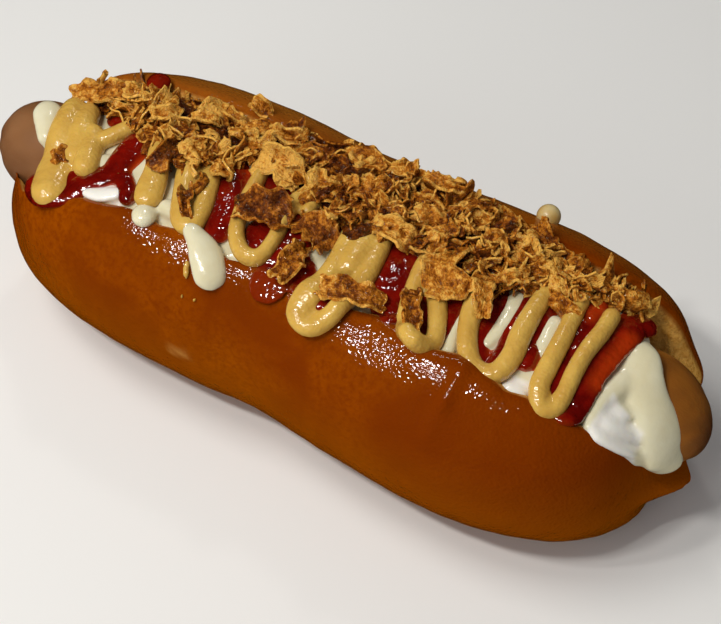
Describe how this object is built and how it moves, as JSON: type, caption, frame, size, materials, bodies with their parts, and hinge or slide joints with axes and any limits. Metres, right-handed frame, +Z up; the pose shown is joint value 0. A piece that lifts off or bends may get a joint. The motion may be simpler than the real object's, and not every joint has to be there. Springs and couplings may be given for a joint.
{
  "type": "hot dog",
  "caption": "Hot dog: split soft roll with a sausage, mayonnaise, ketchup and mustard squeezed to and fro, and fried onion flakes heaped on top.",
  "frame": {"origin": "middle of the flat spot that the roll rests on, at the underside", "axes": "+X along the roll, towards the end where the mayonnaise runs down the sausage; +Y across it, towards the half whose cut edge lies nearer the middle; +Z up"},
  "size_m": [0.1652, 0.0697, 0.0558],
  "materials": {
    "bun_crust": "satin brown bread crust",
    "sausage": "satin cooked sausage skin",
    "ketchup": "wet gloss",
    "mayonnaise": "soft gloss",
    "mustard": "soft gloss",
    "fried_onion": "dry, crisp and uneven"
  },
  "bodies": {
    "root": {"bun": "bun_crust", "sausage": "sausage", "ketchup": "ketchup", "ketchup_drop": "ketchup", "mayonnaise": "mayonnaise", "mustard": "mustard", "mustard_drop": "mustard", "fried_onions": "fried_onion", "onion_flake_01": "fried_onion", "onion_flake_02": "fried_onion", "onion_flake_03": "fried_onion", "onion_flake_04": "fried_onion", "onion_flake_05": "fried_onion", "onion_flake_06": "fried_onion"}
  },
  "joints": []
}
